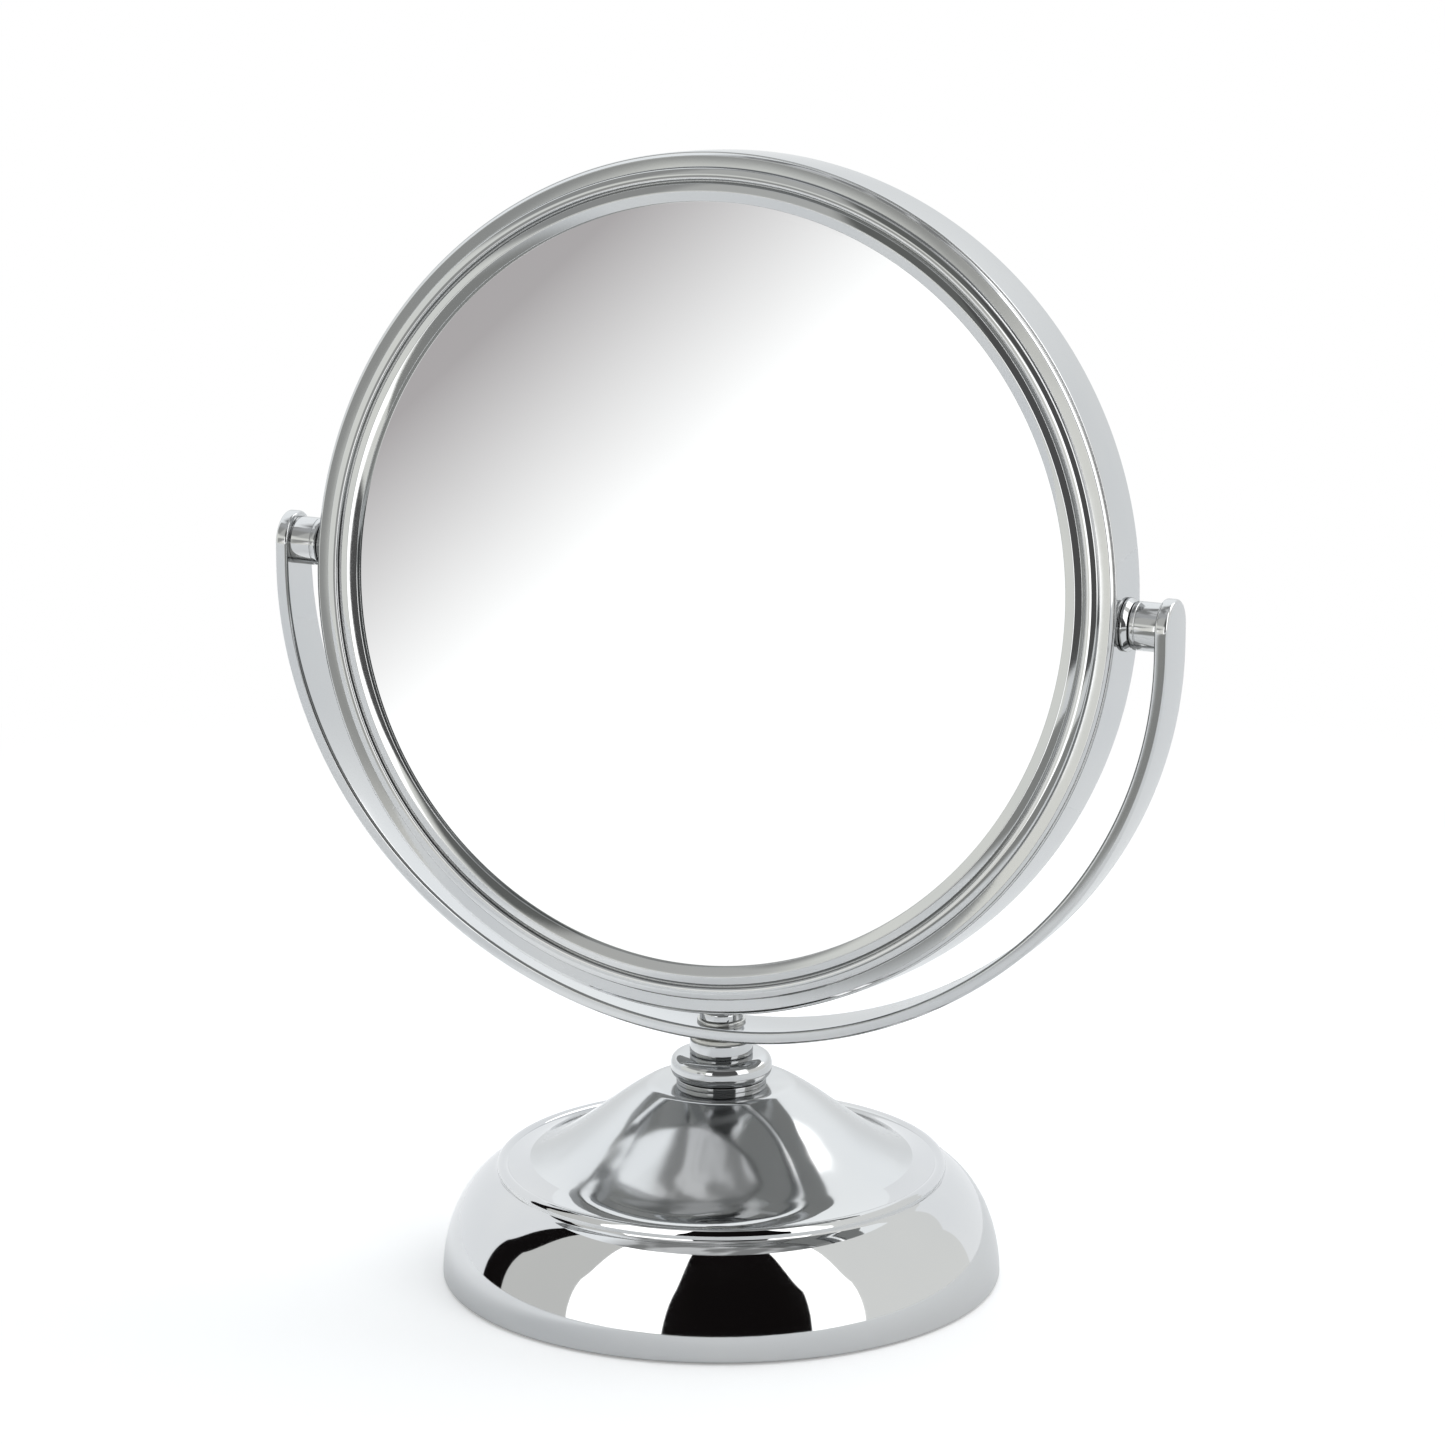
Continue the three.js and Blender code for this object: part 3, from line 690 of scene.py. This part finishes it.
def yoke():
    """Flat bar bent to half an ellipse between straight arms, with rounded edges and half-round ends."""
    low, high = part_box("yoke")
    width = high.y - low.y
    across = high.x - YOKE_THICKNESS / 2
    arc_centre = pivot.z - YOKE_STRAIGHT
    drop = arc_centre - low.z - YOKE_THICKNESS / 2
    left, right = Vector((-1, 0)), Vector((1, 0))
    line = []  # centre line and outward normal, from the left pivot to the right one
    for i in range(5):
        line.append((Vector((-across, pivot.z - YOKE_STRAIGHT * i / 5)), left))
    for i in range(161):
        a = -pi / 2 + pi * i / 160
        normal = Vector((sin(a) / across, -cos(a) / drop)).normalized()
        line.append((Vector((across * sin(a), arc_centre - drop * cos(a))), normal))
    for i in range(4, -1, -1):
        line.append((Vector((across, pivot.z - YOKE_STRAIGHT * i / 5)), right))
    section = []  # how far inside the bar's outline, and how far out from its middle
    for i in range(9):
        a = pi / 2 * i / 8
        section.append((YOKE_EDGE * (1 - sin(a)), YOKE_THICKNESS / 2 - YOKE_EDGE * (1 - cos(a))))
    section += [(inset, -out) for inset, out in reversed(section)]
    end_turns = [pi / 2 * (1 - i / 20) for i in range(20)]  # round each end, from its tip to its side
    bm = bmesh.new()
    loops = []
    for inset, out in section:
        half = width / 2 - inset
        ends = [(pivot.z + half * sin(a), half * cos(a)) for a in end_turns]
        run = [(Vector((-across, height)), left, wide) for height, wide in ends]
        run += [(point, normal, half) for point, normal in line]
        run += [(Vector((across, height)), right, wide) for height, wide in reversed(ends)]
        loop = []
        for side in (1, -1):
            places = [(point + normal * out, side * wide) for point, normal, wide in run]
            loop.append([bm.verts.new((place.x, y, place.y)) for place, y in places])
        loops.append(loop)
    for loop, after in zip(loops, loops[1:]):
        for side in (0, 1):
            for i in range(len(loop[side]) - 1):
                bm.faces.new((loop[side][i], loop[side][i + 1], after[side][i + 1], after[side][i]))
    for loop in (loops[0], loops[-1]):
        for i in range(len(loop[0]) - 1):
            bm.faces.new((loop[0][i], loop[0][i + 1], loop[1][i + 1], loop[1][i]))
    bar = made("yoke_bent", bm)
    below, above = low.z - MM, low.z + YOKE_THICKNESS + MM
    hole = [(0, below), (STUD_HOLE, below), (STUD_HOLE, above), (0, above)]
    return cut(bar, [turned("hole", hole, segments=48)])


finish(yoke(), "yoke", "polished_chrome", yoke_chrome, "yoke")

# ------------------------------------------------------------------ head
BAND_HALF = 8.3 * MM
LIP_RADIUS = 90.1 * MM
LIP_WIDTH = 2.6 * MM
LIP_THICKNESS = 1.25 * MM
LIP_FALL = 0.6 * MM
CREST = 11.2 * MM
FLAT = 9.45 * MM
RIB_CENTRE = 96.7 * MM
RIB_RADIUS = 1.6 * MM
RIB_RISE = 1.5 * MM
SHEET = 1.1 * MM
GLASS_RADIUS = 93 * MM
GLASS_FRONT = 9.32 * MM  # up against the lip
GLASS_THICKNESS = 3 * MM
DISH_RADIUS = 0.9
SKIRT_SLIP = 1.45 * MM  # from the band's outside to the skirt that sits in it
SKIRT_WALL = 1.15 * MM
SKIRT_DEPTH = 2.7 * MM
BAND_ROLL = 0.35 * MM


def outer_band():
    """The rim's hoop, a hair crowned, with rolled edges."""
    radius = outer_radius("outer_band")
    inner = radius - 1.2 * MM
    crown = 0.12 * MM
    run = []
    for i in range(17):
        share = -1 + i / 8
        run.append((radius - crown * share**2, BAND_HALF * share, BAND_ROLL if abs(share) == 1 else 0))
    corners = run + [(inner, BAND_HALF, 0.2 * MM), (inner, -BAND_HALF, 0.2 * MM)]
    return turned("outer_band_rolled", rounded(corners), head_frame, 320, 40)


def bezel(name, place):
    """The pressed ring: outer flat, broad rib that leans outwards, groove and the lip over the glass."""
    radius = outer_radius("outer_band")
    low = BAND_HALF + 0.25 * MM
    skirt, skirt_inside = radius - SKIRT_SLIP, radius - SKIRT_SLIP - SKIRT_WALL
    skirt_end = BAND_HALF - SKIRT_DEPTH
    lip_back = CREST - LIP_FALL - LIP_THICKNESS
    seat = GLASS_RADIUS + 0.25 * MM
    rib = [
        (RIB_CENTRE + RIB_RADIUS, FLAT, 0.15 * MM),
        (RIB_CENTRE + 0.85 * RIB_RADIUS, FLAT + 0.7 * RIB_RISE, 0.6 * MM),
        (RIB_CENTRE, FLAT + 0.96 * RIB_RISE, 3 * MM),
        (RIB_CENTRE - 0.8 * RIB_RADIUS, FLAT + RIB_RISE, 0.45 * MM),
        (RIB_CENTRE - RIB_RADIUS, FLAT, 0.15 * MM),
    ]
    corners = [
        (skirt, skirt_end, FINE_EDGE),
        (skirt, low, FINE_EDGE),
        (radius - 0.35 * MM, low, 0.15 * MM),
        (radius - 0.7 * MM, (low + FLAT) / 2, 0.5 * MM),
        (radius - 1.1 * MM, FLAT, 0.3 * MM),
        *rib,
        (LIP_RADIUS + LIP_WIDTH + 1.7 * MM, CREST - 0.5 * MM, 0.35 * MM),
        (LIP_RADIUS + LIP_WIDTH, CREST, 0.8 * MM),
        (LIP_RADIUS + 0.15 * MM, CREST - LIP_FALL, 0.25 * MM),
        (LIP_RADIUS, lip_back, 0.15 * MM),
        (seat, lip_back, FINE_EDGE),
        (seat + SHEET, FLAT - SHEET, 0.2 * MM),
        (skirt_inside, FLAT - SHEET, 0.2 * MM),
        (skirt_inside, skirt_end, FINE_EDGE),
    ]
    return turned(name, rounded(corners, 5), place, 320, 40)


def glass_disc(name, place, dish=None):
    """A ground-edged glass, flat, or slumped to a dish of the given radius that is hollow outwards."""

    def slump(radius):
        if dish is None:
            return 0.0
        return sqrt(dish**2 - radius**2) - sqrt(dish**2 - GLASS_RADIUS**2)

    edge = 0.4 * MM
    rings = [GLASS_RADIUS * i / 24 for i in range(24)]
    back = GLASS_FRONT - GLASS_THICKNESS
    outline = [(ring, GLASS_FRONT - slump(ring)) for ring in rings]
    outline += [(GLASS_RADIUS - edge, GLASS_FRONT), (GLASS_RADIUS, GLASS_FRONT - edge), (GLASS_RADIUS, back)]
    outline += [(ring, back - slump(ring)) for ring in reversed(rings)]
    return turned(name, outline, place, 256, 35)


finish(outer_band(), "mirror_head", "polished_chrome", rim_chrome, "outer_band")
finish(bezel("front_bezel_pressed", head_frame), "mirror_head", "polished_chrome", rim_chrome, "front_bezel")
finish(bezel("rear_bezel_pressed", rear_frame), "mirror_head", "polished_chrome", rim_chrome, "rear_bezel")
front = glass_disc("front_glass_plain", head_frame)
rear = glass_disc("rear_glass_magnifier", rear_frame, DISH_RADIUS)
finish(front, "mirror_head", "silvered_glass", glass, "front_glass")
finish(rear, "mirror_head", "silvered_glass", glass, "rear_glass")

# ------------------------------------------------------------------ pivots
PIN_HOLE = 2.35 * MM
BUSH_HOLE = 3.55 * MM
BOSS_FLOOR = 1.2 * MM
BOSS_LINE = 1.15 * MM
LINE_WIDTH = 0.4 * MM
LINE_DEPTH = 0.12 * MM


def pivot_side(side):
    """Local Z runs outwards along the pivot axis."""
    return Matrix.Translation(pivot) @ Matrix.Rotation(side * pi / 2, 4, "Y")


def along_pivot(node):
    """How far out a node's two ends lie."""
    low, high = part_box(node)
    return sorted((abs(low.x), abs(high.x)))


def pivot_boss(node, side):
    """A turned boss, brazed to the arm, with a fine turned line and a broken edge."""
    near, far = along_pivot(node)
    floor = far - BOSS_FLOOR
    far += SEATED
    radius = size(node).z / 2
    line, bevel, edge = near + BOSS_LINE, 0.1 * MM, 0.05 * MM
    corners = [
        (0, floor, 0),
        (PIN_HOLE, floor, 0),
        (PIN_HOLE, near, 0),
        (radius, near, 0.45 * MM),
        (radius, line, edge),
        (radius - LINE_DEPTH, line + bevel, edge),
        (radius - LINE_DEPTH, line + LINE_WIDTH - bevel, edge),
        (radius, line + LINE_WIDTH, edge),
        (radius, far, 0.15 * MM),
        (0, far, 0),
    ]
    return turned(node + "_turned", rounded(corners), pivot_side(side), 128)


def pivot_flange(node, side):
    """The flared washer on the rim."""
    near, far = along_pivot(node)
    near -= SEATED
    radius = size(node).z / 2
    corners = [
        (BUSH_HOLE, near, 0),
        (radius, near, 0.15 * MM),
        (radius, near + 0.6 * MM, 0.6 * MM),
        (radius - 0.85 * MM, far, 0.5 * MM),
        (BUSH_HOLE, far, 0),
    ]
    return turned(node + "_turned", rounded(corners), pivot_side(side), 128)


for label, side in (("left", -1), ("right", 1)):
    boss, flange = f"pivot_boss_{label}", f"pivot_flange_{label}"
    finish(pivot_boss(boss, side), "yoke", "polished_chrome", neck_chrome, boss)
    finish(pivot_flange(flange, side), "mirror_head", "polished_chrome", rim_chrome, flange)

# ------------------------------------------------------------------ what is inside keeps its frame shape
INNER = {
    "ballast_disc": iron,
    "stem_nut": steel,
    "stem_spring_washer": steel,
    "stem_stud": steel,
    "front_gasket": soft_foam,
    "rear_gasket": soft_foam,
    "foam_disc": soft_foam,
    "spacer_ring": black_plastic,
}
for label in ("left", "right"):
    INNER[f"pivot_screw_{label}"] = steel
    INNER[f"pivot_clamp_plate_{label}"] = steel
    INNER[f"pivot_wave_washer_{label}"] = steel
    INNER[f"pivot_bush_{label}"] = white_plastic
for node, finish_material in INNER.items():
    own = frame["nodes"][node]
    own.data.materials.clear()
    own.data.materials.append(finish_material)

# ------------------------------------------------------------------ floor, light and camera
VIEW_AZIMUTH = radians(22.9)
VIEW_ELEVATION = radians(15.6)
VIEW_DISTANCE = 1.77
TARGET = Vector((0.0003, 0, 0.1234))
LENS = 185.2
LENS_SHIFT = 0.0401
BEAD_TOP = STEP_FOOT + BEAD_RISE + BEAD
WHITE = rgb(1, 1, 1)


def sheet_of(piece, name):
    """Gives a piece of the studio a material of its own, and returns its sheet."""
    paint = bpy.data.materials.new(name)
    piece.data.materials.append(paint)
    return Sheet(paint)


def azimuth_of(x, y):
    """Degrees to the right of straight ahead."""
    return (180 / pi) * x.math("ARCTAN2", 0 - y)


def bounced(sheet, path):
    """One for light that has already bounced between the parts, else nought."""
    return sheet.out(path, "Glossy Depth").math("GREATER_THAN", 1.5)


def floor():
    """A pale disc that fades to plain white well before its edge."""
    bm = bmesh.new()
    bmesh.ops.create_circle(bm, cap_ends=True, segments=96, radius=1.4)
    bm.transform(Matrix.Translation((0, 0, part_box("foot_pad_1")[0].z)))
    slab = made("floor", bm)
    sheet = sheet_of(slab, "pale_floor")
    place = sheet.place()
    x, y = sheet.parts(place)[:2]
    reach = (x * x + y * y).math("SQRT")
    path = sheet.node("ShaderNodeLightPath")
    seen = sheet.out(path, "Is Camera Ray")
    tone = sheet.blend(sheet.noise(place, 300), rgb(0.80, 0.81, 0.82), rgb(0.82, 0.83, 0.84))
    matte = sheet.node("ShaderNodeBsdfDiffuse", None, Color=tone)
    # Painted light: the floor glows a little everywhere and more to the camera. For every other ray it glows
    # more again to the left of the base, within about a quarter metre.
    left = (1 - seen) * sheet.ramp(0 - x, 0.04, 0.10) * sheet.ramp(reach, 0.2, 0.3, 1, 0)
    lift = sheet.glow(0.05 + 0.27 * seen + 0.22 * left)
    lit = sheet.node("ShaderNodeAddShader", None, i0=sheet.out(matte), i1=sheet.out(lift))
    dusk = sheet.glow(rgb(0.30, 0.305, 0.295))
    # Reflections lose the light beyond the table's front, to the right of straight ahead.
    ahead = (1 - seen) * sheet.ramp(0 - y, 0.28, 0.42) * sheet.ramp(azimuth_of(x, y), -18, -10)
    lit = sheet.mixed(ahead, lit, dusk)
    # Painted shade: reflections that have bounced between the parts more than once see the floor much
    # darker, so the creases read darker.
    lit = sheet.mixed(0.75 * bounced(sheet, path), lit, dusk)
    fade = seen * sheet.ramp(reach, 0.25, 0.55)
    sheet.ends(sheet.mixed(fade, lit, sheet.glow(WHITE)))


def only_in_reflections(card):
    card.visible_camera = False
    card.visible_diffuse = False
    card.visible_shadow = False
    card.visible_transmission = False


def windows(sheet, azimuth, start, edges):
    """Tones side by side. Each edge is its azimuth, its lean and the tone to its right."""
    colour = start
    for at, lean, tone in edges:
        colour = sheet.blend(sheet.ramp(azimuth - lean, at - 0.2, at + 0.2), colour, tone)
    return colour


def low_tent():
    """A low tent of cards round the base, open in the middle, that only the base's dome and bead reflect."""
    reach, mouth, foot, roof = 150 * MM, 62 * MM, 5.5 * MM, 66 * MM
    turns = [2 * pi * i / 256 for i in range(256)]
    bm = bmesh.new()
    rings = []
    for radius, height in ((reach, foot), (reach, roof), (mouth, roof)):
        rings.append([bm.verts.new((radius * cos(a), radius * sin(a), height)) for a in turns])
    for ring, above in zip(rings, rings[1:]):
        for i in range(len(turns)):
            bm.faces.new((ring[i - 1], above[i - 1], above[i], ring[i]))
    tent = made("low_tent", bm)
    sheet = sheet_of(tent, "low_tent")
    x, y, z = sheet.parts(sheet.place())
    inset = (reach - (x * x + y * y).math("SQRT")) * (1 / MM)
    height = z * (1 / MM)
    plain, black, white = rgb(1.0, 1.02, 1.04), rgb(0.006, 0.005, 0.005), rgb(2.1, 2.1, 2.1)
    edges = [
        (-70.5, 0.21 * inset, black),
        (-59.0, 0.21 * inset, rgb(0.72, 0.72, 0.70)),
        (-29.0, 0.14 * inset, white),
        (3.9, 0.061 * inset + 0.035 * height, black),
        (51.7, -0.115 * inset, white),
        (70.5, -0.13 * inset, rgb(0.87, 0.88, 0.87)),
        (125.0, 0.0, plain),
    ]
    colour = windows(sheet, azimuth_of(x, y), plain, edges)
    incoming = sheet.out(sheet.node("ShaderNodeNewGeometry"), "Incoming")
    length = sheet.out(sheet.node("ShaderNodeLightPath"), "Ray Length")
    mirror_height = z + sheet.parts(incoming)[2] * length  # of the spot in which the card is reflected
    too_high = mirror_height.math("GREATER_THAN", BEAD_TOP + 0.7 * MM)
    clear = sheet.node("ShaderNodeBsdfTransparent")
    sheet.ends(sheet.mixed(too_high, sheet.glow(colour), clear))
    only_in_reflections(tent)


def glass_card():
    """A round white card that just fills the front glass from the front, shaded off to its upper left."""
    away = 3.0
    glass_point = pivot + head_front * GLASS_FRONT
    eye = TARGET + view_back() * VIEW_DISTANCE
    image = eye - 2 * (eye - glass_point).dot(head_front) * head_front  # the eye's own mirror image
    scale = 1 + away / (glass_point - image).dot(head_front)
    centre = image + (glass_point - image) * scale
    radius = (LIP_RADIUS + 0.6 * MM) * scale
    bm = bmesh.new()
    bmesh.ops.create_circle(bm, cap_ends=True, segments=128, radius=1)
    card = made("glass_card", bm)
    card.matrix_world = Matrix.Translation(centre - pivot) @ head_frame @ Matrix.Scale(radius, 4)
    sheet = sheet_of(card, "glass_card")
    x, y = sheet.parts(sheet.place())[:2]
    fall = sheet.ramp(0.84 * y - 0.82 * x, 0.30, 1.05, kind="LINEAR")
    colour = sheet.blend(fall, rgb(1.13, 1.13, 1.13), rgb(0.435, 0.415, 0.42))
    sheet.ends(sheet.glow(colour))
    only_in_reflections(card)


def studio():
    """Light from all round, painted by direction in degrees: walls, ceiling, dark room, cards and boxes."""
    world = bpy.data.worlds.new("studio")
    bpy.context.scene.world = world
    sheet = Sheet(world)
    way = sheet.place("Generated")
    x, y, z = sheet.parts(way)
    azimuth = azimuth_of(x, y)
    elevation = (180 / pi) * z.math("ARCSINE")
    path = sheet.node("ShaderNodeLightPath")

    def band(value, low, high, soft):
        """One between low and high, with soft edges."""
        return sheet.ramp(value, low - soft, low + soft) * sheet.ramp(value, high - soft, high + soft, 1, 0)

    def window(from_azimuth, to_azimuth, low, high, soft):
        return band(azimuth, from_azimuth, to_azimuth, soft) * band(elevation, low, high, soft)

    light = sheet.blend(sheet.ramp(elevation, 5, 30), rgb(0.84, 0.86, 0.87), rgb(1.10, 1.13, 1.15))
    slant = 0.74 * elevation - 0.67 * azimuth - 16.4  # rises to the upper left, nought where the glass looks
    shade = sheet.blend(sheet.ramp(slant, -2.5, 3), rgb(0.92, 0.92, 0.87), rgb(0.37, 0.375, 0.365))
    folds = sheet.ramp(sheet.noise(way, 4.5, detail=1.5, stretch=(1.6, 0.8, 1)), 0.42, 0.58)
    drapes = sheet.blend(folds, rgb(0.27, 0.275, 0.275), rgb(0.68, 0.69, 0.70))
    overhead = band(elevation, 64, 95, 4) * sheet.out(path, "Is Glossy Ray")
    zones = [
        (window(-80, 12, -30, 48, 2), rgb(0.89, 0.90, 0.86)),  # the wall in front
        (window(-33, -12, -8, 11, 2), shade),  # its middle, darker to the upper left
        (window(-70, -30, 24, 60, 3), rgb(0.35, 0.355, 0.35)),  # its upper left
        (window(-32, -12, 20, 50, 3), rgb(0.55, 0.555, 0.54)),  # its top
        (window(-14, 14, 20, 50, 2), rgb(0.15, 0.155, 0.15)),  # its upper right
        (window(-60, 60, 48, 95, 5), rgb(0.46, 0.47, 0.48)),  # the ceiling over the front
        (overhead, drapes),  # cloth right overhead, which lights nothing
        (window(84, 140, -8, 60, 1), rgb(0.80, 0.80, 0.78)),  # wall on the right
        (window(-12, 2, -8, 17, 0.6), rgb(1.9, 1.9, 1.9)),  # a tall white card
        (window(60, 86, 0, 60, 0.6), rgb(2.1, 2.1, 2.1)),  # soft box on the right
        (window(112, 150, 22, 60, 3), rgb(2.6, 2.6, 2.6)),  # small box behind it
        (window(2, 60, -2, 50, 0.6), rgb(0.10, 0.10, 0.10)),  # the dark room
        (window(3, 59, 38, 49, 2), rgb(0.34, 0.345, 0.345)),  # and its lighter top
    ]
    colour = light
    for mask, tone in zones:
        colour = sheet.blend(mask, colour, tone)
    # Painted shade: light that has bounced between the parts more than once comes back much darker, so the
    # creases read darker.
    colour = sheet.blend(0.45 * bounced(sheet, path), colour, rgb(0.03, 0.035, 0.035))
    colour = sheet.blend(sheet.out(path, "Is Camera Ray"), colour, WHITE)
    background = sheet.node("ShaderNodeBackground", None, Color=colour)
    sheet.ends(background, "ShaderNodeOutputWorld")


def view_back():
    """From the object towards the camera."""
    level = cos(VIEW_ELEVATION)
    return Vector((sin(VIEW_AZIMUTH) * level, -cos(VIEW_AZIMUTH) * level, sin(VIEW_ELEVATION)))


def camera():
    """A long lens, a little above the mirror's middle and off to its right."""
    back = view_back()
    lens = bpy.data.cameras.new("camera")
    eye = bpy.data.objects.new("camera", lens)
    bpy.context.scene.collection.objects.link(eye)
    lens.sensor_width = 36
    lens.lens = LENS
    lens.shift_y = LENS_SHIFT
    lens.clip_start, lens.clip_end = 0.05, 20
    eye.location = TARGET + back * VIEW_DISTANCE
    eye.rotation_euler = (-back).to_track_quat("-Z", "Y").to_euler()
    bpy.context.scene.camera = eye


floor()
low_tent()
glass_card()
studio()
camera()
bpy.context.scene.view_settings.view_transform = "Standard"
